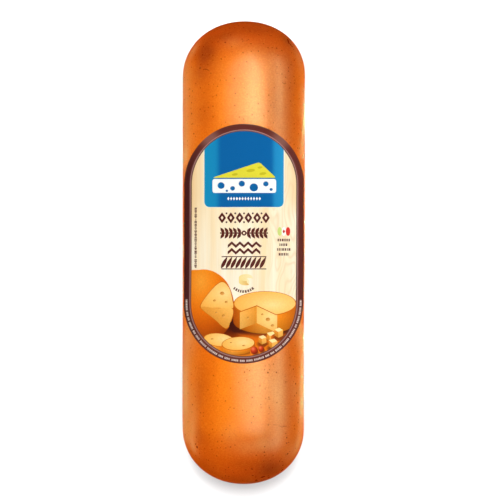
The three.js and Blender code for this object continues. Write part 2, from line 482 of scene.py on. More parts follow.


# Smoked rind: waxy, with a warm sheen; cloudy orange that turns red-brown towards both ends,
# partly smoke and partly painted shade; soft patches that are partly smoke and bloom and partly
# painted shade and painted sheen; fine grain from the skin, dark specks, and pits painted darker,
# partly with soot and partly as painted shade in the hollows.
def rindMaterial():
    look = rindLook
    material, tree = newMaterial("provolone_rind_brined_and_smoked")
    place = addNode(tree, "TexCoord").outputs["Object"]
    axes = addNode(tree, "SeparateXYZ", {"Vector": place})

    cloud = addNode(tree, "TexNoise", {"Vector": place, "Scale": 1 / (look["cloud"] * mm),
                                       "Detail": 3, "Roughness": 0.5})
    share = addNode(tree, "MapRange", {"Value": cloud.outputs["Fac"], "From Min": 0.38,
                                       "From Max": 0.66})
    base = addNode(tree, "Mix", {0: share.outputs[0], 6: linear(look["orange"]),
                                 7: linear(look["deep"])}, data_type="RGBA").outputs[2]

    # darker and redder from each tip inwards, with a wandering edge: partly smoke, partly painted
    # shade on the domed ends
    wander = addNode(tree, "TexNoise", {"Vector": place, "Detail": 2,
                                        "Scale": 1 / (look["smokeWanderSpan"] * mm)})
    farOut = addNode(tree, "Math", {0: axes.outputs["Y"]}, operation="ABSOLUTE").outputs[0]
    reach = addNode(tree, "Math", {0: wander.outputs["Fac"], 1: look["smokeWander"] * mm,
                                   2: farOut}, operation="MULTIPLY_ADD").outputs[0]
    tip = headEnd + look["smokeWander"] / 2
    smokeAndShadeShare = addNode(tree, "MapRange", {"Value": reach, "To Max": 1.0,
                                            "From Min": (tip - look["smokeReach"]) * mm,
                                            "From Max": tip * mm},
                         interpolation_type="SMOOTHSTEP").outputs[0]
    base = addNode(tree, "Mix", {0: smokeAndShadeShare, 6: base, 7: linear(look["smokeAndShade"])},
                   data_type="RGBA").outputs[2]

    # the soft patches that the mesh carries: smoke with painted shade, bloom with painted sheen
    for name, code in (("smokeAndShade", look["patch"]), ("bloomAndSheen", look["bloomAndSheen"])):
        share = addNode(tree, "Attribute", attribute_name=name).outputs["Fac"]
        base = addNode(tree, "Mix", {0: share, 6: base, 7: linear(code)},
                       data_type="RGBA").outputs[2]

    # paler and darker grain, on either side of the noise's middle
    grain = addNode(tree, "TexNoise", {"Vector": place, "Scale": 1 / (look["grain"] * mm),
                                       "Detail": 2, "Roughness": 0.7})
    for full, most, code in ((0.76, "paleGrain", "pale"), (0.24, "fleckGrain", "fleck")):
        share = addNode(tree, "MapRange", {"Value": grain.outputs["Fac"], "From Min": 0.5,
                                           "From Max": full, "To Max": look[most]}).outputs[0]
        base = addNode(tree, "Mix", {0: share, 6: base, 7: linear(look[code])},
                       data_type="RGBA").outputs[2]

    # small specks, more of them where the smoke is
    specks = addNode(tree, "TexVoronoi", {"Vector": place, "Randomness": 1.0,
                                          "Scale": 1 / (look["speckSpacing"] * mm)})
    chance = addNode(tree, "SeparateColor", {0: specks.outputs["Color"]}).outputs[0]
    needed = addNode(tree, "MapRange", {"Value": smokeAndShadeShare, "To Min": look["speckChance"][0],
                                        "To Max": look["speckChance"][1]})
    chosen = addNode(tree, "Math", {0: chance, 1: needed.outputs[0]},
                     operation="GREATER_THAN").outputs[0]
    spot = addNode(tree, "MapRange", {"Value": specks.outputs["Distance"],
                                      "From Min": look["speckEdge"][0],
                                      "From Max": look["speckEdge"][1]}).outputs[0]
    speck = addNode(tree, "Math", {0: chosen, 1: spot}, operation="MULTIPLY").outputs[0]
    speck = addNode(tree, "Math", {0: speck, 1: look["speckStrength"]},
                    operation="MULTIPLY").outputs[0]
    base = addNode(tree, "Mix", {0: speck, 6: base, 7: linear(look["pit"])},
                   data_type="RGBA").outputs[2]

    # the pits that are pressed into the mesh, painted darker: partly soot, partly painted shade in
    # the hollows, and darkest where they are strongest
    pit = addNode(tree, "Attribute", attribute_name="pit").outputs["Fac"]
    pitShare = addNode(tree, "MapRange", {"Value": pit, "From Min": 0.0, "From Max": 0.6,
                                          "To Max": look["pitStrength"]}).outputs[0]
    base = addNode(tree, "Mix", {0: pitShare, 6: base, 7: linear(look["pit"])},
                   data_type="RGBA").outputs[2]
    sootAndShadeShare = addNode(tree, "MapRange", {"Value": pit, "From Min": 0.5, "From Max": 1.2,
                                           "To Max": look["sootAndShadeStrength"]}).outputs[0]
    base = addNode(tree, "Mix", {0: sootAndShadeShare, 6: base, 7: linear(look["sootAndShade"])},
                   data_type="RGBA").outputs[2]

    rough = addNode(tree, "MapRange", {"Value": cloud.outputs["Fac"], "From Min": 0.3,
                                       "From Max": 0.7, "To Min": look["roughness"][0],
                                       "To Max": look["roughness"][1]}).outputs[0]
    skin = addNode(tree, "TexNoise", {"Vector": place, "Scale": 1 / (look["skin"] * mm),
                                      "Detail": 4, "Roughness": 0.6})
    bump = addNode(tree, "Bump", {"Height": skin.outputs["Fac"], "Strength": 1.0,
                                  "Distance": look["skinHeight"] * mm})
    shine = addNode(tree, "MapRange", {"Value": grain.outputs["Fac"], "From Min": 0.25,
                                       "From Max": 0.75, "To Min": look["shine"][0],
                                       "To Max": look["shine"][1]})
    sooty = addNode(tree, "Math", {0: speck, 1: pitShare}, operation="MAXIMUM").outputs[0]
    dull = addNode(tree, "MapRange", {"Value": sooty, "From Max": look["pitStrength"],
                                      "To Min": 1.0, "To Max": look["shineInPits"]})
    shine = addNode(tree, "Math", {0: shine.outputs[0], 1: dull.outputs[0]}, operation="MULTIPLY")
    shader = addNode(tree, "BsdfPrincipled", {
        "Base Color": base, "Roughness": rough, "IOR": look["ior"],
        "Specular IOR Level": shine.outputs[0],
        "Specular Tint": linear(look["gloss"]), "Normal": bump.outputs[0]})
    addNode(tree, "OutputMaterial", {"Surface": shader.outputs[0]})
    return material


inkLook = {
    "paper": "#F1EADB",
    "creamPale": "#FFF7E2",
    "creamMid": "#FFEFCF",
    "creamLeft": "#FBDAA4",
    "creamDeep": "#F9E0B2",
    "creamHead": "#F5CB8E",  # the yellower cream beside the header
    "figure": "#EBCB98",  # the wavy figure of the printed wood, down its right side
    "inkHeight": 0.006,  # mm, the unevenness of the ink and of the printed grain
    "streak": (12, 260, 500),  # mm across, along and through one streak of the printed wood
    "fineStreak": (1.6, 70, 500),
    "wave": (14, 50, 500),
    "waves": 11,  # how many lines the figure makes
    "figureFrom": (16, 34),  # mm to the right of the middle
    # across, the cream turns paler towards the right: partly the print's own tone, partly a
    # painted reflection
    "acrossZones": ((-53, -36, "creamMid"), (10, 34, "creamPale")),  # from and to, mm
    "alongZones": ((40, 0, "creamPale"), (28, 58, "creamHead")),
    "alongStrength": 0.8,
    "besideHeader": (34, 48),
    "fibre": 0.7,  # mm; real fibres are thinner, and these are as coarse as they need to show
}


# Offset ink under a satin varnish: flat colour with the faint unevenness of ink on paper, and
# with a coarser grain in the picture, where the colours are built up from dots. The dots are
# far too fine to show, so their size in millimetres is drawn as coarse as it needs to be.
def inkMaterial(name, dot, uneven):
    material, tree = newMaterial(name)
    place = addNode(tree, "TexCoord").outputs["Object"]
    ink = addNode(tree, "Attribute", attribute_name="ink").outputs["Color"]
    mottle = addNode(tree, "TexNoise", {"Vector": place, "Scale": 1 / (dot * mm), "Detail": 2})
    share = addNode(tree, "MapRange", {"Value": mottle.outputs["Fac"], "From Min": 0.25,
                                       "From Max": 0.75, "To Min": 1 - uneven,
                                       "To Max": 1 + uneven})
    base = addNode(tree, "Mix", {0: 1.0, 6: ink, 7: share.outputs[0]}, data_type="RGBA",
                   blend_type="MULTIPLY").outputs[2]
    bump = addNode(tree, "Bump", {"Height": mottle.outputs["Fac"], "Strength": 1.0,
                                  "Distance": inkLook["inkHeight"] * mm})
    shader = addNode(tree, "BsdfPrincipled", {"Base Color": base, "Roughness": 0.42,
                                              "IOR": 1.48, "Normal": bump.outputs[0]})
    addNode(tree, "OutputMaterial", {"Surface": shader.outputs[0]})
    return material


# Printed wood grain under the same varnish: long cream streaks that run with the log.
def grainMaterial():
    look = inkLook
    material, tree = newMaterial("label_printed_wood_grain_under_satin_varnish")
    place = addNode(tree, "TexCoord").outputs["Object"]
    axes = addNode(tree, "SeparateXYZ", {"Vector": place})
    streaks = {}
    for name in ("streak", "fineStreak", "wave"):
        stretch = tuple(1 / (size * mm) for size in look[name])
        streaks[name] = addNode(tree, "VectorMath", {0: place, 1: stretch},
                                operation="MULTIPLY").outputs[0]
    bands = addNode(tree, "TexNoise", {"Vector": streaks["streak"], "Scale": 1.0, "Detail": 3,
                                       "Roughness": 0.6, "Distortion": 0.3})
    fine = addNode(tree, "TexNoise", {"Vector": streaks["fineStreak"], "Scale": 1.0,
                                      "Detail": 2})
    bandShare = addNode(tree, "MapRange", {"Value": bands.outputs["Fac"], "From Min": 0.35,
                                           "From Max": 0.68}).outputs[0]

    # the cream's zones across the label, then along it; across, the cream turns paler towards the
    # right, partly as the print's own tone and partly as a painted reflection
    ground = linear(look["creamLeft"])
    for start, end, code in look["acrossZones"]:
        share = addNode(tree, "MapRange", {"Value": axes.outputs["X"], "From Min": start * mm,
                                           "From Max": end * mm},
                        interpolation_type="SMOOTHSTEP")
        ground = addNode(tree, "Mix", {0: share.outputs[0], 6: ground, 7: linear(look[code])},
                         data_type="RGBA").outputs[2]
    farOut = addNode(tree, "Math", {0: axes.outputs["X"]}, operation="ABSOLUTE").outputs[0]
    for start, end, code in look["alongZones"]:
        share = addNode(tree, "MapRange", {"Value": axes.outputs["Y"], "From Min": start * mm,
                                           "From Max": end * mm,
                                           "To Max": look["alongStrength"]},
                        interpolation_type="SMOOTHSTEP")
        if code == "creamHead":
            beside = addNode(tree, "MapRange", {"Value": farOut,
                                                "From Min": look["besideHeader"][0] * mm,
                                                "From Max": look["besideHeader"][1] * mm})
            share = addNode(tree, "Math", {0: share.outputs[0], 1: beside.outputs[0]},
                            operation="MULTIPLY")
        ground = addNode(tree, "Mix", {0: share.outputs[0], 6: ground, 7: linear(look[code])},
                         data_type="RGBA").outputs[2]
    base = addNode(tree, "Mix", {0: bandShare, 6: ground, 7: linear(look["creamDeep"])},
                   data_type="RGBA").outputs[2]

    # the wavy figure, as level lines of one slow noise
    figure = addNode(tree, "TexNoise", {"Vector": streaks["wave"], "Scale": 1.0, "Detail": 1})
    waves = addNode(tree, "Math", {0: figure.outputs["Fac"], 1: look["waves"]},
                    operation="MULTIPLY")
    wave = addNode(tree, "Math", {0: waves.outputs[0], 1: 0.5}, operation="PINGPONG").outputs[0]
    line = addNode(tree, "MapRange", {"Value": wave, "From Min": 0.28, "From Max": 0.0,
                                      "To Max": 0.5}).outputs[0]
    onRight = addNode(tree, "MapRange", {"Value": axes.outputs["X"],
                                         "From Min": look["figureFrom"][0] * mm,
                                         "From Max": look["figureFrom"][1] * mm}).outputs[0]
    line = addNode(tree, "Math", {0: line, 1: onRight}, operation="MULTIPLY").outputs[0]
    base = addNode(tree, "Mix", {0: line, 6: base, 7: linear(look["figure"])},
                   data_type="RGBA").outputs[2]
    fineShare = addNode(tree, "MapRange", {"Value": fine.outputs["Fac"], "From Min": 0.3,
                                           "From Max": 0.7, "To Min": 0.97, "To Max": 1.02})
    base = addNode(tree, "Mix", {0: 1.0, 6: base, 7: fineShare.outputs[0]}, data_type="RGBA",
                   blend_type="MULTIPLY").outputs[2]
    bump = addNode(tree, "Bump", {"Height": fine.outputs["Fac"], "Strength": 1.0,
                                  "Distance": look["inkHeight"] * mm})
    shader = addNode(tree, "BsdfPrincipled", {"Base Color": base, "Roughness": 0.44,
                                              "IOR": 1.48, "Normal": bump.outputs[0]})
    addNode(tree, "OutputMaterial", {"Surface": shader.outputs[0]})
    return material


# Bare paper on the label's back and cut edge: matt, with a felted look from its fibres.
def paperMaterial():
    material, tree = newMaterial("label_paper_uncoated_back")
    place = addNode(tree, "TexCoord").outputs["Object"]
    fibre = addNode(tree, "TexNoise", {"Vector": place, "Detail": 3,
                                       "Scale": 1 / (inkLook["fibre"] * mm)})
    share = addNode(tree, "MapRange", {"Value": fibre.outputs["Fac"], "To Min": 0.9,
                                       "To Max": 1.05})
    base = addNode(tree, "Mix", {0: 1.0, 6: linear(inkLook["paper"]), 7: share.outputs[0]},
                   data_type="RGBA", blend_type="MULTIPLY").outputs[2]
    shader = addNode(tree, "BsdfPrincipled", {"Base Color": base, "Roughness": 0.85,
                                              "IOR": 1.5})
    addNode(tree, "OutputMaterial", {"Surface": shader.outputs[0]})
    return material


# The label's shapes are drawn flat, in millimetres from its centre with u across and v along,
# and are bent round the log last.
labelForm = {
    "halfWidth": 58.85,
    "halfLength": 117.0,
    "aside": 0.2,  # along X
    "centre": 8.7,  # along Y
    "underside": 0.1,  # above the rind
    "stockTop": 0.3,
    "filmTop": 0.36,  # the printed films on the stock
    "filmSunk": 0.01,  # how far their undersides reach into it
    "filmInset": 7.3,  # how far in from the label's edge they end
    "stockSpacing": 3.2,  # between the mesh's points
}


# The label's outline, moved inwards.
def insetStadium(inset):
    steps = 40
    halfWidth = labelForm["halfWidth"] - inset
    straight = labelForm["halfLength"] - inset - halfWidth
    points = []
    for sign in (1, -1):
        for i in range(steps + 1):
            turn = math.pi * i / steps
            points.append((sign * halfWidth * math.cos(turn),
                           sign * (straight + halfWidth * math.sin(turn))))
    return points


def ellipse(u, v, halfWidth, halfHeight, steps=28):
    turns = [math.radians(360 * i / steps) for i in range(steps)]
    return [(u + halfWidth * math.cos(turn), v + halfHeight * math.sin(turn)) for turn in turns]


def block(u, v, width, height):
    return [(u - width / 2, v - height / 2), (u + width / 2, v - height / 2),
            (u + width / 2, v + height / 2), (u - width / 2, v + height / 2)]


def lozenge(u, v, halfWidth, halfHeight):
    return [(u - halfWidth, v), (u, v - halfHeight), (u + halfWidth, v), (u, v + halfHeight)]


# A printed shape: its outline, its ink, and which of the film's materials it takes.
def inked(points, ink, material=0):
    return {"points": points, "ink": ink, "material": material}


def flatInk(code):
    colour = linear(code)
    return lambda u, v: colour


def between(first, second, share):
    return tuple(a + (b - a) * share for a, b in zip(first, second))


# The colour at one share of the way through several.
def through(colours, share):
    share = min(max(share, 0.0), 1.0) * (len(colours) - 1)
    low = min(int(share), len(colours) - 2)
    return between(colours[low], colours[low + 1], share - low)


# How far a place lies on the way from one point to another, as a share.
def wayAlong(u, v, start, end):
    du, dv = end[0] - start[0], end[1] - start[1]
    return ((u - start[0]) * du + (v - start[1]) * dv) / (du * du + dv * dv)


# Ink that passes evenly through several colours from one point to another.
def rampInk(codes, start, end):
    colours = [linear(code) for code in codes]
    return lambda u, v: through(colours, wayAlong(u, v, start, end))


# Ink that passes through several colours outwards from one point.
def roundInk(codes, centre, reach):
    colours = [linear(code) for code in codes]
    return lambda u, v: through(colours, math.hypot((u - centre[0]) / reach[0],
                                                    (v - centre[1]) / reach[1]))


# The same ink, dimmed evenly from one point to another.
def dimmed(ink, start, end, least):
    def at(u, v):
        share = min(max(wayAlong(u, v, start, end), 0.0), 1.0)
        *colour, full = ink(u, v)
        return (*[part * (1 + (least - 1) * share) for part in colour], full)

    return at


# A soft round shadow over another ink, darkest in its middle.
def shadowed(ink, code, centre, reach, most):
    dark = linear(code)
    core = 0.45  # the share of its reach that is fully dark

    def at(u, v):
        far = math.hypot((u - centre[0]) / reach[0], (v - centre[1]) / reach[1])
        return between(ink(u, v), dark, most * (1 - smooth(far, core, 1.0)))

    return at


# How far round the log a place across the label lies, as an angle from the top.
def turnAt(u, radius):
    return math.asin(min(max(u / radius, -1), 1))


def onLog(u, v, lift):
    y = labelForm["centre"] + v
    radius = barrelRadius(y)
    angle = turnAt(u, radius + lift)
    skin = surfacePoint(angle, y, radius)
    place = surfacePoint(angle, y, radius - hollowAt(skin) + lift)
    return place + Vector((labelForm["aside"], 0, -labelForm["aside"] * math.tan(angle))), angle


# The same outline, run anticlockwise.
def leftHanded(points):
    turned = zip(points, points[1:] + points[:1])
    area = sum(a[0] * b[1] - b[0] * a[1] for a, b in turned)
    return points if area > 0 else points[::-1]


# The same outline with points added, so that no straight run is too long to follow the log.
def stepped(points, longest):
    line = []
    for first, second in zip(points, points[1:] + points[:1]):
        count = max(math.ceil(math.dist(first, second) / longest), 1)
        line += [tuple(a + (b - a) * i / count for a, b in zip(first, second))
                 for i in range(count)]
    return line


# How far an outline reaches: its angles round the log, then its run along it.
def reachOf(points):
    across, along = zip(*points)
    radius = logForm["headRadius"]
    return turnAt(min(across), radius), turnAt(max(across), radius), min(along), max(along)


# Cuts all shapes inside the clip outline into triangles. It gives the flat points, and every
# triangle with the number of its shape, where later shapes cover earlier ones.
def cutFlat(clip, shapes, spacing):
    mergeWithin = 1e-5
    points = []
    loops = []
    for line in [clip] + [shape["points"] for shape in shapes]:
        line = stepped(leftHanded(line), spacing)
        loops.append(list(range(len(points), len(points) + len(line))))
        points.extend(line)
    lowTurn, highTurn, lowV, highV = reachOf(clip)
    radius = logForm["headRadius"]
    columns = max(round((highTurn - lowTurn) * radius / spacing), 1)
    rows = max(round((highV - lowV) / spacing), 1)
    for j in range(rows + 1):
        for i in range(columns + 1):
            turn = lowTurn + (highTurn - lowTurn) * (i + 0.5 * (j % 2)) / columns
            u = radius * math.sin(min(turn, highTurn))
            points.append((u, lowV + (highV - lowV) * j / rows))
    cut = delaunay_2d_cdt([Vector(p) for p in points], [], loops, 0, mergeWithin, True)
    flat, _, tris, _, _, owners = cut
    return flat, [(tri, max(owner) - 1) for tri, owner in zip(tris, owners)
                  if 0 in owner and max(owner) > 0]


# Where each side of a film lies in its bake image, as shares of the height: the cut edge up to
# the first, the back from there, and the printed front above the last
bakeStrips = {"edge": 0.01, "back": 0.1, "front": 0.12}


# A thin closed sheet on the log, printed on its front and of bare paper elsewhere.
def film(name, clip, shapes, bottom, top, spacing, materials):
    flat, kept = cutFlat(clip, shapes, spacing)
    used = sorted({i for tri, _ in kept for i in tri})
    number = {old: new for new, old in enumerate(used)}
    count = len(used)
    places, outs = [], []
    for lift in (top, bottom):
        for old in used:
            place, angle = onLog(flat[old][0], flat[old][1], lift)
            places.append(place * mm)
            outs.append((math.sin(angle), 0.0, math.cos(angle)))

    faces = [[number[i] for i in tri] for tri, _ in kept]
    fronts = len(faces)
    rims = {}  # a dictionary, because it keeps its order
    for corners in faces:
        for a, b in zip(corners, corners[1:] + corners[:1]):
            rims[(a, b)] = True
    faces += [[i + count for i in reversed(corners)] for corners in faces]
    backs = len(faces)
    faces += [[b, a, a + count, b + count] for a, b in rims if (b, a) not in rims]
    data = bpy.data.meshes.new(name)
    data.from_pydata(places, [], faces)
    for material in materials:
        data.materials.append(material)
    data.color_attributes.new("ink", "FLOAT_COLOR", "CORNER")
    data.uv_layers.new(name="OFBake")

    paper = linear(inkLook["paper"])
    paperSlot = 2
    lowTurn, highTurn, lowV, highV = reachOf(clip)
    colours, coords, normals = [], [], []
    for polygon in data.polygons:
        polygon.use_smooth = True
        front = polygon.index < fronts
        shape = shapes[kept[polygon.index][1]] if front else None
        polygon.material_index = shape["material"] if front else paperSlot
        for vert in polygon.vertices:
            u, v = flat[used[vert % count]]
            share = (turnAt(u, logForm["headRadius"]) - lowTurn) / (highTurn - lowTurn)
            tall = (v - lowV) / (highV - lowV)
            if front:
                colours.extend(shape["ink"](u, v))
                up = bakeStrips["front"] + (1 - bakeStrips["front"]) * tall
                normals.append(outs[vert])
            elif polygon.index < backs:
                colours.extend(paper)
                up = bakeStrips["edge"] + bakeStrips["back"] * tall
                normals.append(tuple(-part for part in outs[vert]))
            else:
                colours.extend(paper)
                up = 0.0 if vert >= count else bakeStrips["edge"]
                normals.append(tuple(polygon.normal))
            coords.extend((share, up))
    data.color_attributes["ink"].data.foreach_set("color", colours)
    data.uv_layers["OFBake"].data.foreach_set("uv", coords)
    data.normals_split_custom_set(normals)
    piece = bpy.data.objects.new(name, data)
    bpy.context.scene.collection.objects.link(piece)
    return piece


borderLook = {
    "ring": 5.5,
    "paleLine": 1.05,
    "darkLine": 0.95,
    "field": 51.55,  # half the width inside the border
    "maroon": "#642F28",
    # the darker maroon down the left side is painted shade, and the sheen colour makes two painted
    # highlights round the head
    "maroonPaintedShade": "#4E211F",
    "leftFrom": 38,  # where the darker left side begins and is full
    "leftTo": 56,
    "paintedSheen": "#8A5C54",
    "sheenStrength": 0.85,
    "sheenRight": 40,  # where the two sheens peak, in degrees from the head's middle
    "sheenLeft": 37,
    "sheenPlateau": 2,
    "sheenReach": 14,
    "pale": "#A0746F",
    "dark": "#5E3A30",
    "dash": "#E0CFC4",
    "dashLengths": (0.6, 0.9, 1.2),
    "dashHalfWidth": 0.9,
    "dashGap": 0.45,
    "dashesInGroup": (3, 9),
    "groupGap": 1.3,
    "dashesUpSides": 3.5,  # how far they reach up past the round foot
    "dashSeed": 5,
}


# The border's ink: maroon, with painted shade darker down the left side and two painted sheens
# round the head.
def borderInk(u, v):
    look = borderLook
    straight = labelForm["halfLength"] - labelForm["halfWidth"]
    turn = math.degrees(math.atan2(u, v - straight)) if v > straight else math.copysign(90, u)
    left = smooth(-u, look["leftFrom"], look["leftTo"])
    peak = look["sheenRight"] if turn > 0 else look["sheenLeft"]
    reach, plateau = look["sheenReach"], look["sheenPlateau"]
    rise = smooth(abs(turn), peak - reach, peak - plateau)
    fall = smooth(abs(turn), peak + plateau, peak + reach)
    maroon, maroonPaintedShade, paintedSheen = (linear(look[key]) for key in ("maroon", "maroonPaintedShade", "paintedSheen"))
    return between(between(maroon, maroonPaintedShade, left), paintedSheen, look["sheenStrength"] * (rise - fall))


# Small dashes round the foot of the border, in groups, each bent with it.
def borderDashes():
    look = borderLook
    shuffle = random.Random(look["dashSeed"])
    middle = labelForm["halfWidth"] - look["ring"] / 2
    straight = labelForm["halfLength"] - labelForm["halfWidth"]
    halfRound = math.pi * middle
    total = halfRound + look["dashesUpSides"]
    travel = -look["dashesUpSides"]
    ink = flatInk(look["dash"])
    shapes = []
    while travel < total:
        for _ in range(shuffle.randint(*look["dashesInGroup"])):
            length = shuffle.choice(look["dashLengths"])
            corners = []
            for step, side in ((0, -1), (length, -1), (length, 1), (0, 1)):
                along = travel + step
                radius = middle + side * look["dashHalfWidth"]
                if along < 0:
                    corners.append((-radius, -straight - along))
                elif along > halfRound:
                    corners.append((radius, -straight + along - halfRound))
                else:
                    turn = along / middle
                    corners.append((-radius * math.cos(turn),
                                    -straight - radius * math.sin(turn)))
            shapes.append(inked(corners, ink))
            travel += length + look["dashGap"]
            if travel > total:
                break
        travel += look["groupGap"]
    return shapes


# The stock: the border's rings, then the printed wood, which is its second material.
def stockShapes():
    pale = borderLook["ring"] + borderLook["paleLine"]
    dark = pale + borderLook["darkLine"]
    return [
        inked(insetStadium(0), borderInk),
        inked(insetStadium(borderLook["ring"]), flatInk(borderLook["pale"])),
        inked(insetStadium(pale), flatInk(borderLook["dark"])),
        inked(insetStadium(dark), flatInk(inkLook["creamMid"]), material=1),
    ] + borderDashes()


# A polygon with its corners rounded off.
def rounded(points, radius):
    steps = 4
    mostOfSide = 0.48
    shape = []
    count = len(points)
    for i in range(count):
        before, corner, after = (Vector(points[(i + k) % count]) for k in (-1, 0, 1))
        start, end = (corner + (other - corner).normalized()
                      * min(radius, (other - corner).length * mostOfSide)
                      for other in (before, after))
        for step in range(steps + 1):
            t = step / steps
            shape.append(tuple(start * (1 - t) ** 2 + corner * 2 * t * (1 - t) + end * t * t))
    return shape


# A shape turned about its own place, in degrees, and set down at (u, v).
def placed(points, u, v, turn):
    cos, sin = math.cos(math.radians(turn)), math.sin(math.radians(turn))
    return [(u + x * cos - y * sin, v + x * sin + y * cos) for x, y in points]


# A closed smooth run of points through the given ones, for drawn outlines.
def softLine(points):
    steps = 6
    count = len(points)
    line = []
    for i in range(count):
        p = [Vector(points[(i + k) % count]) for k in (-1, 0, 1, 2)]
        for step in range(steps):
            t = step / steps
            line.append(tuple(0.5 * (2 * p[1] + (p[2] - p[0]) * t
                                     + (2 * p[0] - 5 * p[1] + 4 * p[2] - p[3]) * t * t
                                     + (3 * p[1] - p[0] - 3 * p[2] + p[3]) * t ** 3)))
    return line


# Ink that changes only across the label, through (u, colour) stops.
def acrossInk(stops):
    colours = [(u, linear(code)) for u, code in stops]

    def at(u, v):
        if u <= colours[0][0]:
            return colours[0][1]
        for (lowU, low), (highU, high) in zip(colours, colours[1:]):
            if u <= highU:
                return between(low, high, smooth(u, lowU, highU))
        return colours[-1][1]

    return at


# The header: a blue panel, lighter towards both sides in painted reflections, with a plain wedge
# of holed cheese on it.
panelLook = {
    "halfWidth": 39.7,
    "foot": 35.0,  # v of its lower edge
    "corner": 5.9,
    "rim": 0.75,  # the pale line round it
    # the blue is lighter towards both sides: painted reflections
    "blueWithPaintedReflections": [(-38.5, "#168EBC"), (-29, "#1788B9"), (-22, "#0B62A2"), (26, "#0B62A2"),
             (31.5, "#228BC1"), (39, "#2591C6")],
    "rimInk": "#F5EED2",
    "white": "#FBFBF7",
    "yellow": "#E3D93A",
    "yellowDeep": "#C9BC22",
    "wedgeTop": [(-31, 64.4), (15, 79.6), (31.5, 64.4)],
    "wedgeSide": [(-31, 63.2), (-31, 49.6), (31.5, 49.6), (31.5, 63.2)],
    "holes": [(-22.5, 56.8, 3.4), (-11.2, 54.0, 2.3), (-2.2, 58.6, 3.0), (9.6, 54.9, 4.1),
              (21.4, 58.4, 2.6), (26.6, 53.0, 1.5), (-16.8, 51.6, 1.2)],
    "dents": [(6.5, 71.4, 4.2, 1.5), (15.6, 74.4, 2.4, 1.0), (18.4, 68.4, 3.4, 1.3),
              (-9.0, 67.6, 3.0, 1.1)],
    "lozenges": 12,
    "lozengePitch": 2.8,
}


def panelOutline(inset):
    cornerSteps, headSteps = 6, 32
    half = panelLook["halfWidth"] - inset
    foot = panelLook["foot"] + inset
    corner = panelLook["corner"] - inset
    straight = labelForm["halfLength"] - labelForm["halfWidth"]
    radius = borderLook["field"]
    points = []
    for side, start in ((-1, 180), (1, 270)):
        for i in range(cornerSteps + 1):
            turn = math.radians(start + 90 * i / cornerSteps)
            points.append((side * (half - corner) + corner * math.cos(turn),
                           foot + corner + corner * math.sin(turn)))
    first = math.acos(half / radius)
    for i in range(headSteps + 1):
        turn = first + (math.pi - 2 * first) * i / headSteps
        points.append((radius * math.cos(turn), straight + radius * math.sin(turn)))
    return points


def panelShapes():
    look = panelLook
    blueWithPaintedReflections = acrossInk(look["blueWithPaintedReflections"])
    white, yellow = flatInk(look["white"]), flatInk(look["yellow"])
    deep = flatInk(look["yellowDeep"])
    shapes = [
        inked(panelOutline(0), flatInk(look["rimInk"])),
        inked(panelOutline(look["rim"]), blueWithPaintedReflections),
        inked(rounded(look["wedgeTop"], 2.2), yellow),
        inked(rounded(look["wedgeSide"], 2.4), white),
    ]
    for u, v, radius in look["holes"]:
        shapes.append(inked(ellipse(u, v, radius, radius * 0.94), blueWithPaintedReflections))
    for u, v, wide, tall in look["dents"]:
        shapes.append(inked(placed(ellipse(0, 0, wide, tall, 20), u, v, 8), deep))
    for i in range(look["lozenges"]):
        u = -15.4 + look["lozengePitch"] * i
        shapes.append(inked(lozenge(u, 44.0, 1.05, 1.8), white))
    return shapes


# The middle: four bands of plain ornament, three small coloured ovals with a lozenge on the
# middle one, an icon of a cut cheese, and rows of dashes.
marksLook = {
    "maroon": "#5A241E",
    "dash": "#6A4436",
    "ovals": ("#CFDB7C", "#FFFDF4", "#DA3428"),
    "ovalMark": "#C8442E",
    "icon": ("#F6DC8E", "#FBE9B2", "#E2A23E"),
    "dashSeed": 11,
    "rightRows": ((12.3, 3.6), (8.7, -1.0), (13.4, -5.6), (10.1, -10.3)),  # (width, v)
    "rightMiddle": 39.2,
    "leftColumn": -47.4,
    "arcCentre": -32.4,  # v of the middle of the arc of dashes under the icon
    "arcRadii": (13.0, 15.6),
}


# A leaf that points to the right from its stem at (0, 0).
def leaf(length, width, steps=8):
    upper = [(length * i / steps, width * math.sin(math.pi * (i / steps) ** 0.8))
             for i in range(steps + 1)]
    return upper + [(x, -y) for x, y in reversed(upper[1:-1])]


def ornamentRows():
    ink = flatInk(marksLook["maroon"])
    ground = flatInk(inkLook["creamMid"])
    shapes = []

    def add(points, colour=ink):
        shapes.append(inked(points, colour))

    row, pitch = 25.3, 8.6  # lozenges, each with a hole, and dots between them
    for i in range(6):
        u = -21.5 + pitch * i
        add(rounded(lozenge(u, row, 3.9, 5.5), 0.8))
        add(rounded(lozenge(u, row, 1.3, 2.0), 0.3), ground)
    for i in range(5):
        for v in (29.6, 21.0):
            add(ellipse(-17.2 + pitch * i, v, 0.95, 0.95, 10))

    row, squash = 10.4, 0.98  # a sprig: leaves in pairs that part in the middle
    add(block(0, row, 47, 1.3))
    for side in (-1, 1):
        for i in range(5):
            u = side * (3.2 + 4.1 * i)
            for lean in (-1, 1):
                leaning = placed(leaf(6.6, 1.55), 0, 0, 58)
                add([(u + side * x, row + lean * y * squash) for x, y in leaning])
    add(ellipse(0, row, 2.5, 2.5, 16))
    add(ellipse(0, row, 1.0, 1.0, 12), ground)

    rise, thick = 3.6, 2.9  # a double zigzag with dots in it
    for level in (-7.0, -0.6):
        upper = [(-16 + 4 * i, level + (rise / 2 if i % 2 else -rise / 2) + 1.15)
                 for i in range(9)]
        add(upper + [(u, v - thick) for u, v in reversed(upper)])
    for i in range(4):
        add(ellipse(-12 + 8 * i, -5.2, 0.9, 0.9, 10))
        add(ellipse(-8 + 8 * i if i < 3 else 16.4, -2.3, 0.9, 0.9, 10))

    pitch = 4.75  # a rope between two lines
    for i in range(9):
        add(placed(leaf(13.4, 1.75, 10), -20.6 + pitch * i - 1.8, -24.2, 62))
    for v in (-24.6, -12.6):
        add(block(0, v, 44, 0.9))
    return shapes


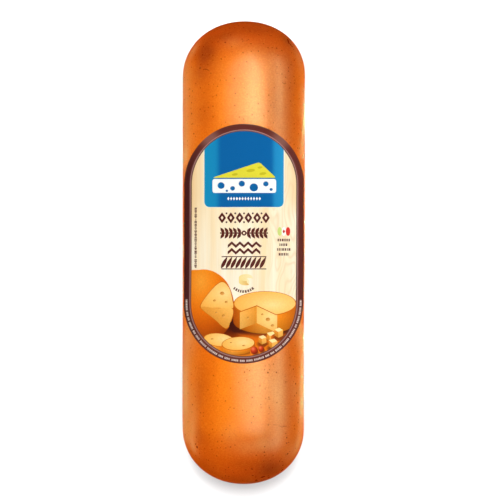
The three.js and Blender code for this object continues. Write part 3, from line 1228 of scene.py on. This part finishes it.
# Rows of dashes: at the right, up the left side, and bent under the icon.
def dashRows():
    look = marksLook
    shuffle = random.Random(look["dashSeed"])
    ink = flatInk(look["dash"])
    shapes = []
    gap, tall = 0.7, 2.5
    for width, v in look["rightRows"]:
        u = look["rightMiddle"] - width / 2
        while u < look["rightMiddle"] + width / 2 - 0.6:
            length = shuffle.uniform(0.8, 1.9)
            shapes.append(inked(block(u + length / 2, v, length, tall), ink))
            u += length + gap
    v, top = -23.0, 36
    while v < top:
        length = shuffle.uniform(0.6, 1.5)
        wide = shuffle.choice((1.6, 2.2, 2.4))
        shapes.append(inked(block(look["leftColumn"], v, wide, length), ink))
        v += length + (0.4 if shuffle.random() < 0.8 else 1.5)
    turn, last = -42.0, 40
    inner, outer = look["arcRadii"]
    while turn < last:
        step = shuffle.uniform(5.0, 8.0)
        corners = []
        for angle, radius in ((turn, inner), (turn + step, inner), (turn + step, outer),
                              (turn, outer)):
            swing = math.radians(angle)
            corners.append((radius * math.sin(swing),
                            look["arcCentre"] - radius * math.cos(swing)))
        shapes.append(inked(corners, ink))
        turn += step + 3.2
    return shapes


# A low drum of cheese with a wedge cut out of it.
def iconShapes():
    pale, light, deep = marksLook["icon"]
    side = rampInk((pale, deep), (-4, -36), (9, -38))
    return [
        inked(ellipse(2, -37.6, 6.8, 3.0), side),
        inked(block(2, -35.4, 13.6, 4.4), side),
        inked(ellipse(2, -33.0, 6.8, 3.4), rampInk((pale, light), (-4, -35), (8, -31))),
        inked([(3.0, -33.4), (9.0, -33.8), (9.0, -39.4), (5.4, -41.2)],
              flatInk(inkLook["creamMid"]), material=1),
        inked([(3.0, -33.4), (5.4, -36.0), (5.4, -40.2), (3.0, -37.8)], flatInk(light)),
    ]


def marksShapes():
    shapes = ornamentRows() + dashRows()
    for i, code in enumerate(marksLook["ovals"]):
        shapes.append(inked(ellipse(35.1 + 4.1 * i, 12.0, 2.2, 4.3, 18), flatInk(code)))
    shapes.append(inked(lozenge(39.2, 12.0, 1.3, 2.1), flatInk(marksLook["ovalMark"])))
    return shapes + iconShapes()


# The foot: a plain still life of cut cheese on a warm board.
pictureLook = {
    "board": ("#C8500C", "#E8740E", "#FA8A18"),
    "recess": ("#2E0E10", "#4A1A10"),
    "rind": ("#F99E30", "#F5881A", "#EA700A", "#C85606", "#963C06"),
    "rindEdge": "#D2690E",
    "cut": ("#FFDA8E", "#FFCC74", "#FFBF5C", "#F8AC46"),
    "cutShade": ("#FDBC5A", "#F6A844", "#EA942E"),
    "side": ("#B24C08", "#E67C14", "#FFA438", "#F08A1C", "#C05A0C"),
    "eye": ("#F8B860", "#C9761E"),
    "shadow": "#6A2408",
    "cube": ("#FFE09A", "#F9B450", "#E68E2C"),
    "red": ("#F58A62", "#DC4A22", "#AE2C12", "#74160A"),
}


# The board that everything stands on, and the dark behind it.
def boardInk():
    board = rampInk(pictureLook["board"], (0, -84), (0, -110))
    recess = rampInk(pictureLook["recess"], (0, -62), (0, -88))
    boardFrom, boardFull = 86, 91
    return lambda u, v: between(recess(u, v), board(u, v), smooth(-v, boardFrom, boardFull))


# The same outline grown outwards from its middle by a share of its size.
def grown(points, by):
    middle = [sum(p[k] for p in points) / len(points) for k in (0, 1)]
    return [(middle[0] + (u - middle[0]) * by, middle[1] + (v - middle[1]) * by)
            for u, v in points]


# Small holes in a cut face: dark at the upper side, lit below.
def eyes(places):
    look = pictureLook["eye"]
    return [inked(ellipse(u, v, wide, tall, 16),
                  rampInk(look, (u + wide * 0.4, v - tall), (u - wide * 0.3, v + tall * 0.7)))
            for u, v, wide, tall in places]


# A soft shadow lying on the board.
def shadowOn(ground, u, v, wide, tall, most=0.85):
    ink = shadowed(ground, pictureLook["shadow"], (u, v), (wide, tall), most)
    return inked(ellipse(u, v, wide, tall, 30), ink)


# A round of cheese lying flat: its side, its rind's edge, then its top.
def lyingRound(u, v, halfWidth, halfHeight, tall, side, top):
    low = [(u + halfWidth * math.cos(t), v - tall + halfHeight * math.sin(t))
           for t in (math.pi + math.pi * i / 24 for i in range(25))]
    body = [(u - halfWidth, v)] + low + [(u + halfWidth, v)]
    around = rampInk(side, (u - halfWidth, v), (u + halfWidth, v))
    lit = (u + halfWidth * 0.25, v - halfHeight * 0.1)
    return [
        inked(body, dimmed(around, (u, v - halfHeight), (u, v - tall - halfHeight), 0.6)),
        inked(ellipse(u, v, halfWidth, halfHeight, 36), flatInk(pictureLook["rindEdge"])),
        inked(ellipse(u, v + 0.25, halfWidth - 0.9, halfHeight - 0.7, 36),
              roundInk(top, lit, (halfWidth * 1.4, halfHeight * 1.5))),
    ]


# A cube of cheese seen from above one corner.
def cube(u, v, size, turn):
    flat, right, left = pictureLook["cube"]
    squash = 0.5  # how low the eye lies over the board
    drop = size * 0.95
    a, b = math.radians(turn), math.radians(turn + 90)
    across = (size * math.cos(a), size * math.sin(a) * squash)
    along = (size * math.cos(b), size * math.sin(b) * squash)
    near = (u, v)
    rightTop = (u + across[0], v + across[1])
    leftTop = (u + along[0], v + along[1])
    far = (rightTop[0] + along[0], rightTop[1] + along[1])
    foot, rightFoot, leftFoot = [(x, y - drop) for x, y in (near, rightTop, leftTop)]
    return [
        inked(rounded([near, rightTop, rightFoot, foot], 0.5),
              dimmed(flatInk(right), near, foot, 0.75)),
        inked(rounded([near, leftTop, leftFoot, foot], 0.5),
              dimmed(flatInk(left), near, foot, 0.68)),
        inked(rounded([near, rightTop, far, leftTop], 0.6), flatInk(flat)),
    ]


# A tall round at the left with a wedge cut out of it.
def tallRound(ground):
    look = pictureLook
    edge = flatInk(look["rindEdge"])
    whole = softLine([(-56, -32), (-44, -25.5), (-30, -27), (-17, -37), (-10, -54), (-10, -70),
                      (-16, -84), (-30, -94), (-48, -94), (-58, -80)])
    upper = softLine([(-42, -62), (-33, -47), (-22, -37.5), (-14.5, -43), (-11, -55), (-11, -63),
                      (-26, -62.5)])
    lower = softLine([(-42, -62), (-26, -63.0), (-11, -63.5), (-12, -74), (-17, -82.5),
                      (-28, -74)])
    shade = rampInk(look["cutShade"], (-14, -64), (-30, -80))
    return [
        shadowOn(ground, -22, -90, 26, 8),
        inked(whole, roundInk(look["rind"], (-42, -37), (44, 60))),
        inked(grown(upper, 1.05), edge),
        inked(grown(lower, 1.05), edge),
        inked(upper, roundInk(look["cut"], (-18, -48), (30, 22))),
        inked(lower, dimmed(shade, (-14, -64), (-22, -84), 0.8)),
    ] + eyes([(-21, -48.5, 2.2, 1.7), (-28.5, -55.5, 1.6, 1.1), (-17.0, -57.0, 1.5, 1.2),
              (-19.5, -70.5, 1.9, 1.5), (-26.5, -67.2, 1.2, 0.8)])


# A broad flat round at the right, cut open at the front.
def openRound(ground):
    look = pictureLook
    shapes = [shadowOn(ground, 22, -80, 36, 13, 0.7)]
    shapes += lyingRound(21, -58.5, 31, 12.2, 17, look["side"], look["cut"])
    shapes += [
        inked([(13, -60), (33, -69.4), (14, -71.4), (-3.5, -66.0)],
              rampInk(look["recess"], (10, -60), (10, -70))),
        inked([(13, -60), (33, -69.4), (33, -87.0), (13, -77.4)],
              dimmed(roundInk(look["cut"], (27, -72), (24, 22)), (20, -72), (20, -88), 0.86)),
        inked([(13, -60), (-3.5, -66.0), (-3.5, -83.6), (13, -77.4)],
              dimmed(rampInk(look["cutShade"], (-3, -72), (13, -72)), (4, -66), (4, -84), 0.75)),
        inked([(-3.5, -66.0), (13, -60), (33, -69.4), (32.2, -69.9), (13, -61.0), (-3.5, -67.0)],
              flatInk(look["rindEdge"])),
    ]
    return shapes + eyes([(24, -74, 2.2, 1.9), (18.5, -69.0, 1.2, 1.0), (28.5, -80.0, 1.6, 1.4),
                          (4.5, -72.5, 1.2, 1.3)])


# Two thick slices in front, one lying on the other.
def slices(ground):
    look = pictureLook
    thick = 3.8
    shapes = []
    for u, v, wide, tall, lean in ((-24, -94, 15.5, 6.6, -6), (-5, -97.5, 16.5, 6.8, 4)):
        side = rampInk(look["side"][1:], (u - wide, v), (u + wide, v))
        side = dimmed(side, (u, v - tall + 1), (u, v - tall - 4), 0.66)
        top = roundInk(look["cut"], (u + wide * 0.3, v + tall * 0.2), (wide * 1.5, tall * 1.7))
        face = ellipse(0, 0, wide, tall, 30)
        shapes += [
            shadowOn(ground, u + 1.5, v - 5.5, wide + 3.5, tall + 1.5),
            inked(placed(face, u, v - thick, lean), side),
            inked(placed(block(0, -thick / 2, 2 * wide, thick), u, v, lean), side),
            inked(placed(face, u, v, lean), flatInk(look["rindEdge"])),
            inked(placed(ellipse(0, 0.15, wide - 0.8, tall - 0.5, 30), u, v, lean), top),
        ]
    return shapes + eyes([(-30.5, -93.0, 1.5, 0.7), (-12.0, -96.5, 1.3, 0.6),
                          (0.5, -99.4, 1.7, 0.8)])


# A few cubes, and two small red fruits.
def smallThings(ground):
    shapes = []
    for u, v, size, turn in ((25.5, -90.0, 6.6, 22), (34.2, -86.2, 6.0, 40),
                             (18.0, -93.0, 5.6, 35), (28.0, -96.8, 6.2, 30)):
        shapes.append(shadowOn(ground, u + 1.2, v - size * 0.9, size * 1.4, size * 0.75))
        shapes += cube(u, v, size, turn)
    for u, v, radius in ((10.6, -104.0, 3.6), (17.4, -102.6, 2.9)):
        lit = (u - radius * 0.35, v + radius * 0.4)
        shapes.append(shadowOn(ground, u + 1.0, v - 1.8, radius * 1.4, radius * 1.1))
        shapes.append(inked(ellipse(u, v, radius, radius, 20),
                            roundInk(pictureLook["red"], lit, (radius * 1.5, radius * 1.5))))
    return shapes


def pictureShapes():
    ground = boardInk()
    field = [(-26, -58), (-8, -58.5), (26, -60), (52, -66), (52, -112), (-52, -112), (-52, -80)]
    things = tallRound(ground) + openRound(ground) + slices(ground) + smallThings(ground)
    return [inked(field, ground)] + things


view = {
    "aim": (0.31, 2.57, 59.0),
    "distance": 9.0,
    "tall": 0.491,  # metres of the object's middle plane from the top of the frame to the foot
    "sensor": 36,
    "farthest": 60,
}


def addCamera():
    camera = bpy.data.objects.new("camera", bpy.data.cameras.new("camera"))
    camera.location = Vector(view["aim"]) * mm + Vector((0, 0, view["distance"]))
    camera.data.sensor_width = view["sensor"]
    camera.data.lens = view["sensor"] * view["distance"] / view["tall"]
    camera.data.clip_end = view["farthest"]
    bpy.context.scene.collection.objects.link(camera)
    bpy.context.scene.camera = camera


# A softbox at a place, turned to face another place; size is (across, along the log).
def softbox(name, box):
    data = bpy.data.lights.new(name, "AREA")
    data.shape = box.get("shape", "RECTANGLE")
    data.size, data.size_y = box["size"]
    filled = math.pi / 4 if data.shape == "ELLIPSE" else 1
    data.energy = box["radiance"] * math.pi * data.size * data.size_y * filled
    data.color = box.get("colour", (1, 1, 1))
    data.spread = math.radians(box.get("spread", 180))
    light = bpy.data.objects.new(name, data)
    place, aim = Vector(box["at"]), Vector(box["aim"])
    backward = (place - aim).normalized()
    sideways = Vector((0, 1, 0)).cross(backward).normalized()
    turned = Matrix((sideways, backward.cross(sideways), backward)).transposed().to_4x4()
    swung = Matrix.Rotation(math.radians(box.get("swing", 0)), 4, "Z")
    light.matrix_world = Matrix.Translation(place) @ swung @ turned
    light.visible_camera = False
    light.visible_diffuse = box["reaches"] == "diffuse"
    light.visible_glossy = box["reaches"] == "glossy"
    data.cycles.use_multiple_importance_sampling = False  # lights over each other add up right
    bpy.context.scene.collection.objects.link(light)
    group = bpy.data.collections.new(name + "_receivers")
    for piece in box["only"]:
        group.objects.link(bpy.data.objects[piece])
    light.light_linking.receiver_collection = group


studio = {
    "sky": 0.1,
    "floorGlow": 0.54,
    "floorPaint": 0.2,
    "floorRadius": 18,
    "backdropGlow": 1.1,
    "backdropRadius": 19,
}


def addStage():
    world = bpy.data.worlds.new("studio")
    bpy.context.scene.world = world
    world.use_nodes = True
    background = world.node_tree.nodes["Background"]
    background.inputs["Color"].default_value = (1, 1, 1, 1)
    background.inputs["Strength"].default_value = studio["sky"]
    world.cycles_visibility.glossy = False

    material, tree = newMaterial("studio_floor_matt_white")
    shader = addNode(tree, "BsdfDiffuse", {"Color": (*[studio["floorPaint"]] * 3, 1)})
    glow = addNode(tree, "Emission", {"Strength": studio["floorGlow"]})
    both = addNode(tree, "AddShader", {0: shader.outputs[0], 1: glow.outputs[0]})
    addNode(tree, "OutputMaterial", {"Surface": both.outputs[0]})
    bpy.ops.mesh.primitive_circle_add(vertices=96, radius=studio["floorRadius"],
                                      fill_type="NGON", calc_uvs=False)
    floor = bpy.context.object
    floor.name = "floor"
    floor.data.materials.append(material)
    floor.visible_glossy = False
    floor.visible_diffuse = False  # the four bounce lights stand in for it

    material, tree = newMaterial("studio_backdrop_lit_paper")
    glow = addNode(tree, "Emission", {"Strength": studio["backdropGlow"]})
    addNode(tree, "OutputMaterial", {"Surface": glow.outputs[0]})
    bpy.ops.mesh.primitive_uv_sphere_add(segments=48, ring_count=24,
                                         radius=studio["backdropRadius"], calc_uvs=False)
    backdrop = bpy.context.object
    backdrop.name = "backdrop"
    backdrop.data.materials.append(material)
    for ray in ("visible_diffuse", "visible_glossy", "visible_transmission", "visible_shadow"):
        setattr(backdrop, ray, False)


addCamera()
addStage()
scene = bpy.context.scene
scene.view_settings.view_transform = "Standard"
print("camera, floor and backdrop are in place")

rind = buildRind()
rind.data.materials.append(rindMaterial())
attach(rind, "root")
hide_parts("cheese_log")
print("rind:", len(rind.data.polygons), "faces")

wood, paper = grainMaterial(), paperMaterial()
printed = [inkMaterial("label_offset_ink_under_satin_varnish", 0.9, 0.035), wood, paper]
pictured = [inkMaterial("label_halftone_picture_under_satin_varnish", 1.7, 0.07), wood, paper]

label = film("label_stock", insetStadium(0), stockShapes(), labelForm["underside"],
             labelForm["stockTop"], labelForm["stockSpacing"], printed)
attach(label, "root")
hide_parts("label")
print("label:", len(label.data.polygons), "faces")

# each printed film's shapes, the spacing of its mesh's points, and its materials
prints = {
    "label_panel": (panelShapes, 2.2, printed),
    "label_marks": (marksShapes, 4.0, printed),
    "label_picture": (pictureShapes, 1.4, pictured),
}
filmFoot = labelForm["stockTop"] - labelForm["filmSunk"]
for name, (shapes, spacing, inks) in prints.items():
    piece = film(name, insetStadium(labelForm["filmInset"]), shapes(), filmFoot,
                 labelForm["filmTop"], spacing, inks)
    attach(piece, "root")
    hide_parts("label")
    print(name + ":", len(piece.data.polygons), "faces")

# Every light is a softbox in metres that reaches either the diffuse or the glossy side of the
# pieces it is for. Keys and skies are the studio's own lights, sheens and cards are mirrored in
# the rind's shine, and bounces and lifts are what the white floor sends back up.
onFloor = ("floor",)
onRind = ("rind",)
onLabel = ("label_stock", *prints)
onAll = onRind + onLabel
boxes = {
    "floor_key_left": {"at": (-0.4, 0.68, 4.0), "aim": (-0.4, 0.68, 0), "size": (0.3, 1.4),
                       "radiance": 305, "reaches": "diffuse", "only": onFloor},
    "floor_key_right": {"at": (0.4, 0.68, 4.0), "aim": (0.4, 0.68, 0), "size": (0.3, 1.4),
                        "radiance": 305, "reaches": "diffuse", "only": onFloor},
    "label_sky": {"at": (0, 0.2, 2.5), "aim": (0, 0.2, 0), "size": (8, 8),
                  "radiance": 0.45, "reaches": "diffuse", "only": onLabel},
    "label_key": {"at": (0.3, 0.55, 4.0), "aim": (0, 0, 0.059), "size": (0.5, 0.5),
                  "radiance": 109, "reaches": "diffuse", "only": onLabel},
    "label_left": {"at": (-3, 0.3, 0.7), "aim": (0, 0, 0.059), "size": (0.5, 0.5),
                   "radiance": 30, "reaches": "diffuse", "only": onLabel},
    "label_right": {"at": (3, 0.3, 0.7), "aim": (0, 0, 0.059), "size": (0.5, 0.5),
                    "radiance": 36, "reaches": "diffuse", "only": onLabel},
    "rind_sky": {"at": (0, 0.1, 2.5), "aim": (0, 0.1, 0), "size": (8, 8),
                 "radiance": 0.34, "reaches": "diffuse", "only": onRind},
    "rind_key": {"at": (-0.95, 0.55, 3.9), "aim": (0, 0, 0.059), "size": (0.5, 0.5),
                 "radiance": 138, "reaches": "diffuse", "only": onRind},
    "rind_glow": {"at": (-0.026, 0.225, 0.42), "aim": (-0.026, 0.225, 0),
                  "size": (0.833, 0.93), "radiance": 5.6, "colour": (1, 0.54, 0.034),
                  "spread": 160, "reaches": "glossy", "only": onRind},
    "rind_sheen": {"at": (0.162, 0.21, 0.50), "aim": (0.162, 0.21, 0), "size": (0.25, 0.77),
                   "radiance": 8.7, "colour": (0.9, 1, 0.89), "spread": 160, "swing": 17,
                   "reaches": "glossy", "only": onRind},
    "rind_sheen_wide": {"at": (0.08, 0.165, 0.46), "aim": (0.08, 0.165, 0),
                        "shape": "ELLIPSE", "size": (0.60, 0.42), "radiance": 4.0,
                        "colour": (0.9, 1, 0.95), "spread": 160, "swing": 17,
                        "reaches": "glossy", "only": onRind},
    "rind_sheen_foot": {"at": (0.15, -0.09, 0.46), "aim": (0.15, -0.09, 0),
                        "shape": "ELLIPSE", "size": (0.50, 0.26), "radiance": 4.4,
                        "colour": (0.8, 1, 0.95), "spread": 160,
                        "reaches": "glossy", "only": onRind},
    "rind_strip": {"at": (1.9, 0, 0.79), "aim": (0, 0, 0.1), "size": (0.38, 3.0),
                   "radiance": 17, "colour": (0.8, 1, 0.76),
                   "reaches": "glossy", "only": onRind},
    "left_card": {"at": (-0.5, 0, 0.001), "aim": (-0.5, 0, 1), "size": (0.88, 0.42),
                  "radiance": 0.86, "colour": (0.15, 1, 0.48),
                  "reaches": "glossy", "only": onRind},
    "right_edge": {"at": (0.083, 0, 0.002), "aim": (0.083, 0, 1), "size": (0.04, 0.33),
                   "radiance": 2.3, "colour": (0.1, 1, 0.55),
                   "reaches": "glossy", "only": onRind},
    "left_bounce": {"at": (-1.035, 0, 0.0015), "aim": (-1.035, 0, 1), "size": (1.93, 4),
                    "radiance": 1.0, "reaches": "diffuse", "only": onAll},
    "right_bounce": {"at": (1.035, 0, 0.0015), "aim": (1.035, 0, 1), "size": (1.93, 4),
                     "radiance": 1.25, "reaches": "diffuse", "only": onAll},
    "head_bounce": {"at": (0, 1.115, 0.0015), "aim": (0, 1.115, 1), "size": (0.14, 1.77),
                    "radiance": 0.75, "reaches": "diffuse", "only": onRind},
    "foot_bounce": {"at": (0, -1.115, 0.0015), "aim": (0, -1.115, 1), "size": (0.14, 1.77),
                    "radiance": 1.25, "reaches": "diffuse", "only": onRind},
    "left_lift": {"at": (-0.1425, 0, 0.003), "aim": (-0.1425, 0, 1), "size": (0.115, 0.5),
                  "radiance": 1.8, "reaches": "diffuse", "only": onRind},
    "right_lift": {"at": (0.1425, 0, 0.003), "aim": (0.1425, 0, 1), "size": (0.115, 0.5),
                   "radiance": 4.2, "reaches": "diffuse", "only": onRind},
    "foot_lift": {"at": (0, -0.29, 0.003), "aim": (0, -0.29, 1), "size": (0.2, 0.12),
                  "radiance": 0.5, "reaches": "diffuse", "only": onRind},
}
for name, box in boxes.items():
    softbox(name, box)
print("lights:", len(boxes))
